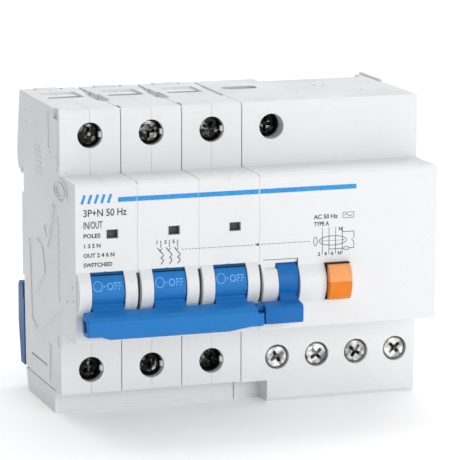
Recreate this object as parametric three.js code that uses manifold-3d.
// Residual current breaker with overcurrent protection, for a 35 mm top-hat rail.
// Three 18 mm breaker poles are joined to a 54 mm residual current block, whose first
// 18 mm hold the switched neutral.  Millimetres, +X right, +Y back to the rail, +Z up.
// Inside this file X is 0 at the left face, Y is 0 at the front plate, Z is 0 at the foot.
// The last group moves the origin to the middle of the foot.

import * as THREE from 'three';
import { mergeVertices } from 'three/addons/utils/BufferGeometryUtils.js';
import Module from 'manifold-3d';

const wasm = await Module();
wasm.setup();

// ---- driving dimensions ----

const MODULE = 18;
const POLES = 3;
const BLOCK_LEFT = POLES * MODULE;
const WIDTH = 2 * BLOCK_LEFT;
const SEAM = 0.1;
const GAP = 0.3;
const WALL = 1.3;
const TOP_WALL = 2.4;

const POLE_BOTTOM = 6.8;
const LOWER_SHOULDER = 25;
const UPPER_SHOULDER = 70;
const TOP = 88.4;
const EDGE_ROUND = 1.2;

const LEDGE = 15.5;
const COVER_BACK = 24;
const BLOCK_BACK = 55;
const RAIL_SEAT = 56.5;
const RAIL_KEY = 58.4;
const HOOK_LIP = 58.6;
const HOOK_BACK = 63.5;
const RAIL_LOW = 30;
const RAIL_HIGH = 65;

const HANDLE_AXIS = { y: 5.2, z: 38.9 };
const HANDLE_OFF = THREE.MathUtils.degToRad(37);
const HANDLE_FRONT = -8.5;
const OPENING = { half: 4.85, low: 32.6, high: 44.4 };
const POLE_HUMP = { y: 5.5, z: 39.1, radius: 8.2, half: 8.45 };
const BLOCK_HUMP = { y: 4.7, z: 38.1, radius: 7.2 };

const RECESS = { line: 3, load: 3.6, neutral: 6, block: 0.7 };
const LINE_Z = 81.1;
const LOAD_Z = 13.7;
const BLOCK_LOAD_Z = 13.3;
const BLOCK_LOAD_X = 65.1;
const BLOCK_LOAD_PITCH = 12.2;
const SCREW_HOLE = 3.68;
const SCREW_END = 35.5;
const CLAMP_FRONT = 30;
const CLAMP_DEPTH = 18;
const TAB_Y = 40;
const STRIP = 1.2;

const WINDOW = { left: 0.2, right: 3.5, low: 54.4, high: 56.9 };
const CONTACT_AXIS = { y: 21, z: 51 };
const CONTACT_OPEN = THREE.MathUtils.degToRad(-8);

// ---- materials ----

function material(color, roughness, metalness = 0) {
  return () => new THREE.MeshStandardMaterial({ color, roughness, metalness });
}

const WHITE = material(0xf1f1f1, 0.45);
const BLUE = material(0x307dc4, 0.4);
const DEEP_BLUE = material(0x1f68b5, 0.4);
const CLIP_BLUE = material(0x1c4f96, 0.45);
const ORANGE = material(0xee8e3c, 0.4);
const NICKEL = material(0xb9b9b4, 0.3, 1);
const BLACK_STEEL = material(0x3a3b39, 0.4, 1);
const COPPER = material(0xb87347, 0.35, 1);
const FLAG_GREEN = material(0x3f4a44, 0.5);
const FERRITE = material(0x33363a, 0.7);
const BOARD = material(0x2f6b45, 0.5);

// ---- solids ----

// A closed manifold from any three.js geometry.
function solid(geometry) {
  const bare = geometry.index ? geometry.toNonIndexed() : geometry.clone();
  bare.deleteAttribute('normal');
  bare.deleteAttribute('uv');
  const merged = mergeVertices(bare, 1e-4);
  return new wasm.Manifold(new wasm.Mesh({
    numProp: 3,
    vertProperties: new Float32Array(merged.attributes.position.array),
    triVerts: new Uint32Array(merged.index.array),
  }));
}

function joined(pieces) {
  return pieces.reduce((whole, piece) => whole.add(piece));
}

function boxGeometry([x0, x1], [y0, y1], [z0, z1]) {
  const geometry = new THREE.BoxGeometry(x1 - x0, y1 - y0, z1 - z0);
  return geometry.translate((x0 + x1) / 2, (y0 + y1) / 2, (z0 + z1) / 2);
}

function box(x, y, z) {
  return solid(boxGeometry(x, y, z));
}

// A box given about the handle axis with its lever along -Y, turned down to the off position.
function leverBox(x, y, z) {
  const geometry = boxGeometry(x, y, z).rotateX(HANDLE_OFF);
  return solid(geometry.translate(0, HANDLE_AXIS.y, HANDLE_AXIS.z));
}

// Round bars along each axis, from the first value to the second.
function barX(radius, [x0, x1], y, z, sides = 20) {
  const geometry = new THREE.CylinderGeometry(radius, radius, x1 - x0, sides);
  geometry.rotateZ(-Math.PI / 2);
  geometry.translate((x0 + x1) / 2, y, z);
  return solid(geometry);
}

function barY(radius, x, [y0, y1], z, sides = 20) {
  const geometry = new THREE.CylinderGeometry(radius, radius, y1 - y0, sides);
  geometry.translate(x, (y0 + y1) / 2, z);
  return solid(geometry);
}

function barZ(radius, x, y, [z0, z1], sides = 20) {
  const geometry = new THREE.CylinderGeometry(radius, radius, z1 - z0, sides);
  geometry.rotateX(Math.PI / 2);
  geometry.translate(x, y, (z0 + z1) / 2);
  return solid(geometry);
}

// An outline of [a, b] corners; a third value rounds that corner.
function outline(corners) {
  const shape = new THREE.Shape();
  corners.forEach(([a, b, round = 0], i) => {
    const corner = new THREE.Vector2(a, b);
    const before = new THREE.Vector2(...corners.at(i - 1)).sub(corner).setLength(round);
    const after = new THREE.Vector2(...corners[(i + 1) % corners.length]).sub(corner).setLength(round);
    const start = before.add(corner);
    const end = after.add(corner);
    if (i === 0) shape.moveTo(start.x, start.y);
    else shape.lineTo(start.x, start.y);
    if (round) shape.quadraticCurveTo(a, b, end.x, end.y);
  });
  return shape;
}

function extruded(corners, length) {
  const options = { depth: length, bevelEnabled: false, curveSegments: 4 };
  return new THREE.ExtrudeGeometry(outline(corners), options);
}

// A side outline of [y, z] corners, extruded from x0 to x1.
function slabX(corners, [x0, x1]) {
  const geometry = extruded(corners, x1 - x0);
  const axes = [new THREE.Vector3(0, 1, 0), new THREE.Vector3(0, 0, 1), new THREE.Vector3(1, 0, 0)];
  geometry.applyMatrix4(new THREE.Matrix4().makeBasis(...axes));
  geometry.translate(x0, 0, 0);
  return solid(geometry);
}

// A plan outline of [x, y] corners, extruded from z0 to z1.
function slabZ(corners, [z0, z1]) {
  const geometry = extruded(corners, z1 - z0);
  geometry.translate(0, 0, z0);
  return solid(geometry);
}

function part(name, shape, paint) {
  const { vertProperties, triVerts } = shape.getMesh();
  const geometry = new THREE.BufferGeometry();
  geometry.setAttribute('position', new THREE.BufferAttribute(new Float32Array(vertProperties), 3));
  geometry.setIndex(new THREE.BufferAttribute(new Uint32Array(triVerts), 1));
  geometry.computeVertexNormals();
  const mesh = new THREE.Mesh(geometry, paint());
  mesh.name = name;
  return mesh;
}

function placed(x, y, z, meshes, tilt = 0) {
  const group = new THREE.Group();
  group.position.set(x, y, z);
  group.rotation.x = tilt;
  group.add(...meshes);
  return group;
}

// ---- housing outlines, [y, z] ----

const FRONT_EDGE = [
  [LEDGE + 0.5, TOP],
  [LEDGE, TOP - 2.2],
  [LEDGE, UPPER_SHOULDER],
  [0, UPPER_SHOULDER, EDGE_ROUND],
  [0, LOWER_SHOULDER, EDGE_ROUND],
  [LEDGE, LOWER_SHOULDER],
];

// The rail side: key between the flanges of the rail, seats for both flanges, fixed hook.
const RAIL_EDGE = [
  [RAIL_SEAT - 0.9, POLE_BOTTOM],
  [RAIL_SEAT, RAIL_LOW],
  [RAIL_SEAT, 33.7],
  [RAIL_KEY, 33.7],
  [RAIL_KEY, 58.4],
  [RAIL_SEAT, 58.4],
  [RAIL_SEAT, RAIL_HIGH + 0.8],
  [HOOK_LIP, RAIL_HIGH + 0.8],
  [HOOK_LIP + 0.4, RAIL_HIGH - 1.2],
  [HOOK_BACK - 1, RAIL_HIGH + 0.6],
  [HOOK_BACK, RAIL_HIGH + 4.5],
  [HOOK_BACK - 0.5, TOP - 14],
  [HOOK_BACK - 3.4, TOP],
];

const POLE_EDGE = [...FRONT_EDGE, [LEDGE, POLE_BOTTOM], ...RAIL_EDGE];

const POLE_HOLLOW = [
  [LEDGE + WALL, TOP - TOP_WALL],
  [LEDGE + WALL, UPPER_SHOULDER - WALL],
  [WALL, UPPER_SHOULDER - WALL],
  [WALL, LOWER_SHOULDER + WALL],
  [LEDGE + WALL, LOWER_SHOULDER + WALL],
  [LEDGE + WALL, POLE_BOTTOM + WALL],
  [RAIL_SEAT - 0.9 - WALL, POLE_BOTTOM + WALL],
  [RAIL_SEAT - WALL, RAIL_LOW],
  [RAIL_SEAT - WALL, RAIL_HIGH + 2],
  [HOOK_BACK - 4.9, RAIL_HIGH + 7],
  [HOOK_BACK - 4.9, TOP - TOP_WALL],
];

// The back of both sides of a pole is 0.4 mm lower than the rest of the side.
const SIDE_RELIEF = [
  [50.2, TOP + 1],
  [49.1, 72],
  [53.7, 64],
  [54.3, 31],
  [48, 22.7],
  [48.4, 12.2],
  [50.2, POLE_BOTTOM - 1],
  [HOOK_BACK + 1, POLE_BOTTOM - 1],
  [HOOK_BACK + 1, TOP + 1],
];

// ---- shared housing features ----

// A screw hole through the ledge, with a boss behind it and a shoulder under the head.
function screwTunnel(housing, x, z, recess) {
  const shoulder = LEDGE + recess + 2.7;
  return housing
    .add(barY(SCREW_HOLE + 1.1, x, [LEDGE + WALL / 2, shoulder + 1], z))
    .subtract(barY(SCREW_HOLE, x, [LEDGE - 1, shoulder], z))
    .subtract(barY(2.8, x, [LEDGE, shoulder + 2], z, 16));
}

// The oval slot in the top where a conductor enters the line clamp.
function wireSlot(x) {
  const corners = [
    [x - 5.3, 41.6, 2.6],
    [x + 5.3, 41.6, 2.6],
    [x + 5.3, 47.4, 2.6],
    [x - 5.3, 47.4, 2.6],
  ];
  return slabZ(corners, [TOP - TOP_WALL - 1, TOP + 1]);
}

// The slot in the back wall where the tongue of the rail clip runs.
function clipSlot(x) {
  return box([x - 2.9, x + 2.9], [RAIL_SEAT - 4, RAIL_SEAT + 1], [POLE_BOTTOM + 1.5, 22.4]);
}

// ---- breaker pole, X measured from the middle of the pole ----

function poleHousing(number) {
  const half = MODULE / 2 - SEAM;
  const inner = half - WALL;
  const hump = barX(POLE_HUMP.radius, [-POLE_HUMP.half, POLE_HUMP.half], POLE_HUMP.y, POLE_HUMP.z, 48);
  const humpFront = hump.subtract(box([-MODULE, MODULE], [0.6, MODULE], [0, TOP]));
  let housing = slabX(POLE_EDGE, [-half, half])
    .subtract(slabX(POLE_HOLLOW, [-inner, inner]))
    .add(humpFront)
    .subtract(box([-OPENING.half, OPENING.half], [-4, WALL + 0.5], [OPENING.low, OPENING.high]))
    .subtract(barX(7.9, [-OPENING.half, OPENING.half], HANDLE_AXIS.y, HANDLE_AXIS.z, 40))
    .subtract(box([WINDOW.left, WINDOW.right], [-1, WALL + 1], [WINDOW.low, WINDOW.high]))
    .subtract(wireSlot(0))
    .subtract(clipSlot(0));
  housing = screwTunnel(housing, 0, LINE_Z, RECESS.line);
  housing = screwTunnel(housing, 0, LOAD_Z, RECESS.load);
  for (const z of [LINE_Z, LOAD_Z]) {
    const tooth = box([SCREW_HOLE - 0.8, SCREW_HOLE + 0.5], [LEDGE + 0.9, LEDGE + 2.1], [z - 0.8, z + 0.8]);
    housing = housing.add(tooth);
  }
  for (const side of [-1, 1]) {
    const relief = [side * (half - 0.4), side * (half + 1)].sort((a, b) => a - b);
    housing = housing.subtract(slabX(SIDE_RELIEF, relief));
    // Between two poles the top has a shallow rectangular recess.
    const neighbour = number + side;
    if (neighbour < 1 || neighbour > POLES) continue;
    const recess = [side * (half - 1.7), side * (half + 1)].sort((a, b) => a - b);
    housing = housing.subtract(box(recess, [31.6, 44], [TOP - 1.6, TOP + 1]));
  }
  return housing.subtract(box([-half - 1, -half + 0.8], [17, 21.7], [TOP - 3, TOP + 1]));
}

function poleShells(number) {
  const housing = poleHousing(number);
  const left = box([-MODULE, -SEAM / 3], [-MODULE, 4 * MODULE], [0, 2 * TOP]);
  const right = box([SEAM / 3, MODULE], [-MODULE, 4 * MODULE], [0, 2 * TOP]);
  return [
    part(`pole_${number}_shell_left`, housing.intersect(left), WHITE),
    part(`pole_${number}_shell_right`, housing.intersect(right), WHITE),
  ];
}

// The toggle drum with its lever, X measured from its middle, about its own axis.
function handle(name, radius, half, paint) {
  const drum = barX(radius, [-half, half], 0, 0, 36);
  const lever = box([-half, half], [-9.2, -radius + 2], [-1.5, 1.5]);
  const tip = box([-half + 1.4, half - 1.4], [-11.5, -9], [-1.2, 1.2]);
  return part(name, joined([drum, lever, tip]), paint);
}

// ---- terminals ----

// A clamp screw, its head facing -Y at the origin.
function clampScrew(name, length, paint) {
  const head = barY(3.15, 0, [0, 2.4], 0, 24);
  const shank = barY(2.4, 0, [2, length], 0, 14);
  const slot = box([-2.3, 2.3], [-1, 1.1], [-0.45, 0.45]);
  const cross = box([-0.45, 0.45], [-1, 1.1], [-2.3, 2.3]);
  return part(name, head.add(shank).subtract(slot).subtract(cross), paint);
}

// The cage that the screw lifts, open along Z for the conductor.
function clampCage(name, half, paint) {
  const cage = box([-half, half], [0, CLAMP_DEPTH], [-4.1, 4.1])
    .subtract(box([-half + 1.2, half - 1.2], [STRIP, CLAMP_DEPTH - 1.4], [-5, 5]))
    .subtract(barY(2.7, 0, [-1, 2], 0, 14));
  return part(name, cage, paint);
}

function terminal(prefix, x, z, recess, half, paint) {
  const face = LEDGE + recess;
  return [
    placed(x, face, z, [clampScrew(`${prefix}_screw`, SCREW_END - face, paint)]),
    placed(x, CLAMP_FRONT, z, [clampCage(`${prefix}_clamp`, half, NICKEL)]),
  ];
}

// ---- current path ----

// The strip from the line clamp down to the fixed contact; the poles wind it into a trip coil.
function fixedContact(name, coil) {
  const side = [
    [TAB_Y + STRIP, 85],
    [TAB_Y, 85],
    [TAB_Y, 71.7],
    [28, 71.7],
    [28, 57.6],
    [39, 57.6],
    [39, 57.6 + STRIP],
    [28 + STRIP, 57.6 + STRIP],
    [28 + STRIP, 71.7 - STRIP],
    [TAB_Y + STRIP, 71.7 - STRIP],
  ];
  const strip = slabX(side, [-3, 3]).add(barZ(2, 0, 36.6, [55.6, 58], 14));
  const whole = coil ? strip.add(barZ(4.6, 0, 30, [58.2, 71])) : strip;
  return part(name, whole, COPPER);
}

function movingContact(name) {
  const hub = barX(2.6, [-2.4, 2.4], 0, 0, 16);
  const arm = box([-1.6, 1.6], [-2, 17.5], [-0.8, 0.8]);
  const pad = barZ(1.6, 0, 15.8, [0.5, 1.8], 12);
  return part(name, joined([hub, arm, pad]), COPPER);
}

function bimetal(name) {
  const side = [
    [TAB_Y, 10],
    [TAB_Y + STRIP, 10],
    [TAB_Y + STRIP, 20.3 + STRIP],
    [24 + STRIP, 20.3 + STRIP],
    [24 + STRIP, 43],
    [24, 43],
    [24, 20.3],
    [TAB_Y, 20.3],
  ];
  return part(name, slabX(side, [-3, 3]), COPPER);
}

// Splitter plates that cool the arc, held by one back plate.
function arcChute(name) {
  const pieces = [box([-6, 6], [53, 54.2], [34, 52])];
  for (let z = 34; z <= 51; z += 2.4) {
    pieces.push(box([-6, 6], [42, 53.5], [z, z + 0.9]));
  }
  return part(name, joined(pieces), NICKEL);
}

function positionFlag(name) {
  const plate = box([-0.4, 4.1], [WALL + 0.4, WALL + 1.4], [50.6, 57.6]);
  const foot = box([-0.4, 4.1], [WALL + 0.4, 9], [50.6, 51.6]);
  return part(name, plate.add(foot), FLAG_GREEN);
}

// ---- rail clip ----

function railClip(name, half) {
  const bottom = POLE_BOTTOM - 0.2;
  const side = [
    [RAIL_KEY - 0.5, RAIL_LOW - 0.2],
    [RAIL_KEY + 0.8, RAIL_LOW + 1.1],
    [HOOK_BACK - 1.3, RAIL_LOW + 1.1],
    [HOOK_BACK - 0.3, RAIL_LOW - 0.2],
    [HOOK_BACK - 0.3, 19],
    [HOOK_BACK - 2.9, bottom],
    [RAIL_SEAT - 0.3, bottom],
    [RAIL_SEAT + 0.5, RAIL_LOW - 3.4],
    [RAIL_KEY - 0.5, RAIL_LOW - 3.4],
  ];
  const tongue = box([-2.5, 2.5], [RAIL_SEAT - 2.5, RAIL_SEAT + 1], [13.6, 22]);
  const pullSlot = box([-1.5, 1.5], [RAIL_SEAT, HOOK_BACK], [bottom + 2, bottom + 3.6]);
  return part(name, slabX(side, [-half, half]).add(tongue).subtract(pullSlot), CLIP_BLUE);
}

function breakerPole(number) {
  const name = (piece) => `pole_${number}_${piece}`;
  return placed(MODULE * (number - 0.5), 0, 0, [
    ...poleShells(number),
    placed(0, HANDLE_AXIS.y, HANDLE_AXIS.z, [handle(name('handle'), 7.6, 4.65, BLUE)], HANDLE_OFF),
    ...terminal(name('line'), 0, LINE_Z, RECESS.line, 4.5, BLACK_STEEL),
    ...terminal(name('load'), 0, LOAD_Z, RECESS.load, 4.5, BLACK_STEEL),
    fixedContact(name('trip_coil'), true),
    placed(0, CONTACT_AXIS.y, CONTACT_AXIS.z, [movingContact(name('moving_contact'))], CONTACT_OPEN),
    bimetal(name('bimetal')),
    arcChute(name('arc_chute')),
    positionFlag(name('position_flag')),
    railClip(name('rail_clip'), MODULE / 2 - 0.3),
  ]);
}

// ---- tie bar over the three levers, drawn in the off position ----

const TIE_BAR = { left: 1.2, step: 50.9, right: 52.8, stepZ: 32 };
const BAR_SIDE = [
  [-3.6, 34.7],
  [-7.2, 33.7],
  [-8.4, 32.6],
  [HANDLE_FRONT, 28.7],
  [-7.4, 27.4],
  [-4.4, 27.1],
  [-2.6, 29],
  [-2.4, 33],
];

function tieBar() {
  const bar = slabX(BAR_SIDE, [TIE_BAR.left, TIE_BAR.right]);
  const step = box([TIE_BAR.step, TIE_BAR.right + 1], [-10, 0], [TIE_BAR.stepZ, 40]);
  let shape = bar.subtract(step);
  for (let number = 1; number <= POLES; number += 1) {
    const x = MODULE * (number - 0.5);
    shape = shape.subtract(leverBox([x - 3.6, x + 3.6], [-11.9, -8], [-1.5, 1.5]));
  }
  return part('tie_bar', shape, BLUE);
}

// ---- residual current block ----

const BLOCK = { left: BLOCK_LEFT + SEAM, right: WIDTH - SEAM };
const NEUTRAL_X = BLOCK_LEFT + MODULE / 2;
const NEUTRAL_RIGHT = 73;
const BLOCK_OPENING = { left: 59.1, right: 65.6, low: 32.6, high: 43 };
const BUTTON = { left: 73.6, right: 81, low: 33, high: 43.6, front: -4.3 };
const BUTTON_GAP = 0.25;
const HUMP_RIGHT = 83.6;
const END_FLATNESS = 0.3;
const ARM_NOTCH = { right: 62, back: 22.3, top: 6.5 };

function blockHump() {
  const { y, z, radius } = BLOCK_HUMP;
  const run = barX(radius, [BLOCK_LEFT + 0.5, HUMP_RIGHT - END_FLATNESS * radius], y, z, 40);
  const end = new THREE.SphereGeometry(radius, 40, 20);
  end.scale(END_FLATNESS, 1, 1);
  end.translate(HUMP_RIGHT - END_FLATNESS * radius, y, z);
  const cut = box([0, WIDTH], [0.6, MODULE], [0, TOP]);
  return run.add(solid(end)).subtract(cut);
}

function blockCover() {
  const side = [...FRONT_EDGE, [LEDGE, 1.2], [LEDGE + 1.3, 0], [COVER_BACK, 0], [COVER_BACK, TOP]];
  const hollow = [
    [LEDGE + WALL, TOP - TOP_WALL],
    [LEDGE + WALL, UPPER_SHOULDER - WALL],
    [WALL, UPPER_SHOULDER - WALL],
    [WALL, LOWER_SHOULDER + WALL],
    [LEDGE + WALL, LOWER_SHOULDER + WALL],
    [LEDGE + WALL, WALL + 0.5],
    [COVER_BACK + 1, WALL + 0.5],
    [COVER_BACK + 1, TOP - TOP_WALL],
  ];
  const { right, back, top } = ARM_NOTCH;
  const inside = slabX(hollow, [BLOCK.left + WALL, BLOCK.right - WALL])
    .subtract(box([BLOCK_LEFT, right + WALL], [LEDGE, COVER_BACK + 2], [0, top + WALL]));
  let cover = slabX(side, [BLOCK.left, BLOCK.right])
    .subtract(inside)
    .add(blockHump())
    .subtract(box([BLOCK_LEFT - 1, right], [LEDGE - 1, back], [-1, top]));
  const { left: from, right: to, low, high } = BLOCK_OPENING;
  cover = cover
    .subtract(box([from, to], [-4, WALL + 0.5], [low, high]))
    .subtract(barX(7.1, [from, to], HANDLE_AXIS.y, HANDLE_AXIS.z, 40))
    .subtract(box([55.9, to], [-4, 0.6], [high - 0.1, high + 2.1]))
    .subtract(box([BUTTON.left, BUTTON.right], [-5, WALL + 1], [BUTTON.low, BUTTON.high]));
  cover = screwTunnel(cover, NEUTRAL_X, LINE_Z, RECESS.neutral);
  for (let i = 0; i < 4; i += 1) {
    const x = BLOCK_LOAD_X + i * BLOCK_LOAD_PITCH;
    cover = screwTunnel(cover, x, BLOCK_LOAD_Z, RECESS.block);
  }
  return part('block_cover', cover, WHITE);
}

function blockBase() {
  const front = COVER_BACK + 0.15;
  const plain = [
    [front, 0],
    [51.6, 0],
    [53.6, 5.7],
    [BLOCK_BACK, 7],
    [BLOCK_BACK, TOP],
    [front, TOP],
  ];
  const railed = [[BLOCK_BACK - 8, POLE_BOTTOM], ...RAIL_EDGE, [BLOCK_BACK - 8, TOP]];
  const ridge = [WIDTH - 1.1, BLOCK.right];
  let base = slabX(plain, [BLOCK.left, BLOCK.right])
    .add(slabX(railed, [BLOCK.left, NEUTRAL_RIGHT]))
    .add(slabX(railed, [WIDTH - 2.5, BLOCK.right]))
    .add(box(ridge, [42.7, 60], [TOP - 1, TOP + 0.7]));
  const inside = box(
    [BLOCK.left + WALL, BLOCK.right - WALL],
    [front - 1, BLOCK_BACK - WALL],
    [WALL + 0.5, TOP - TOP_WALL],
  );
  const divider = box([71.7, NEUTRAL_RIGHT], [front, BLOCK_BACK - 1], [24, TOP - 1]);
  const back = slabX([[45, 0], [51.6, 0], [53.6, 5.7], [45, 5.7]], [0, WIDTH]);
  base = base.subtract(inside.subtract(divider).subtract(back));
  base = base.subtract(wireSlot(NEUTRAL_X)).subtract(clipSlot(NEUTRAL_X));
  for (let i = 0; i < 4; i += 1) {
    const x = BLOCK_LOAD_X + i * BLOCK_LOAD_PITCH;
    base = base.subtract(box([x - 3.4, x + 3.4], [36.5, 44], [-1, WALL + 2]));
  }
  return part('block_base', base, WHITE);
}

// The tray under the poles that covers the links from the load clamps to the block.
function linkCover() {
  const top = POLE_BOTTOM - GAP;
  const side = [
    [ARM_NOTCH.back, top],
    [ARM_NOTCH.back, 0],
    [51.6, 0],
    [53.6, 5.7],
    [54.6, top],
  ];
  const tray = slabX(side, [SEAM, BLOCK_LEFT - SEAM])
    .subtract(box([SEAM + WALL, BLOCK_LEFT - WALL], [ARM_NOTCH.back + WALL, 49.5], [WALL, top + 1]));
  return part('link_cover', tray, WHITE);
}

// The block's own toggle: a tongue on its bar lies over the stepped end of the tie bar.
function blockHandle() {
  const { left, right } = BLOCK_OPENING;
  const span = [left + 0.2, right - 0.2];
  const drum = barX(6.8, span, HANDLE_AXIS.y, HANDLE_AXIS.z, 36);
  const lever = leverBox(span, [-10, -5], [-1.4, 1.4]);
  const side = [
    [-3.8, 34.4],
    [-7.7, 33.8],
    [-8.2, 33],
    [-8.2, 29.1],
    [-7.6, 28.6],
    [-3, 28.8],
    [-2.6, 33],
  ];
  const bar = slabX(side, [TIE_BAR.right + 0.4, 64.5]);
  const tongue = box([TIE_BAR.step + GAP, TIE_BAR.right + 1], [-6.2, -3.6], [TIE_BAR.stepZ + GAP, 34.1]);
  return part('block_handle', joined([drum, lever, bar, tongue]), DEEP_BLUE);
}

function testButton() {
  const { left, right, low, high, front } = BUTTON;
  const span = [left + BUTTON_GAP, right - BUTTON_GAP];
  const middle = (low + high) / 2;
  const radius = 8.4;
  const face = barX(radius, span, front + radius, middle, 48);
  const body = box(span, [front - 1, 6], [low + BUTTON_GAP, high - BUTTON_GAP]);
  const flange = box([left + 0.6, right - 0.6], [WALL + 0.3, WALL + 1.5], [low - 1.5, high + 1.5]);
  return part('test_button', face.intersect(body).add(flange), ORANGE);
}

function sumTransformer() {
  const ring = new THREE.LatheGeometry([
    new THREE.Vector2(6.5, 0),
    new THREE.Vector2(12, 0),
    new THREE.Vector2(12, 12),
    new THREE.Vector2(6.5, 12),
    new THREE.Vector2(6.5, 0),
  ], 28);
  ring.translate(90, 32, 50);
  return part('sum_transformer', solid(ring), FERRITE);
}

// Electronics board with the trip solenoid and two capacitors.
function tripUnit() {
  const pieces = [
    box([75, 105], [26, 27.6], [30, 83]),
    box([78, 92], [27, 41], [67, 82]),
    barZ(2, 85, 34, [64.6, 67.5], 14),
    barY(4, 98, [19.5, 26.5], 76),
    barY(4, 98, [19.5, 26.5], 62),
  ];
  return part('trip_unit', joined(pieces), BOARD);
}

function residualBlock() {
  const terminals = [];
  for (let i = 0; i < 4; i += 1) {
    const x = BLOCK_LOAD_X + i * BLOCK_LOAD_PITCH;
    terminals.push(...terminal(`block_load_${i + 1}`, x, BLOCK_LOAD_Z, RECESS.block, 4.2, NICKEL));
  }
  return placed(0, 0, 0, [
    blockCover(),
    blockBase(),
    blockHandle(),
    testButton(),
    sumTransformer(),
    tripUnit(),
    ...terminals,
    placed(NEUTRAL_X, 0, 0, [
      ...terminal('neutral_line', 0, LINE_Z, RECESS.neutral, 4.5, BLACK_STEEL),
      fixedContact('neutral_fixed_contact', false),
      placed(0, CONTACT_AXIS.y, CONTACT_AXIS.z, [movingContact('neutral_moving_contact')], CONTACT_OPEN),
      railClip('block_rail_clip', 5),
    ]),
  ]);
}

// ---- the whole device ----

const device = new THREE.Group();
device.position.set(-WIDTH / 2, -(HANDLE_FRONT + HOOK_BACK) / 2, 0);
for (let number = 1; number <= POLES; number += 1) {
  device.add(breakerPole(number));
}
device.add(tieBar());
device.add(linkCover());
device.add(residualBlock());

const model = new THREE.Group();
model.add(device);

export default model;
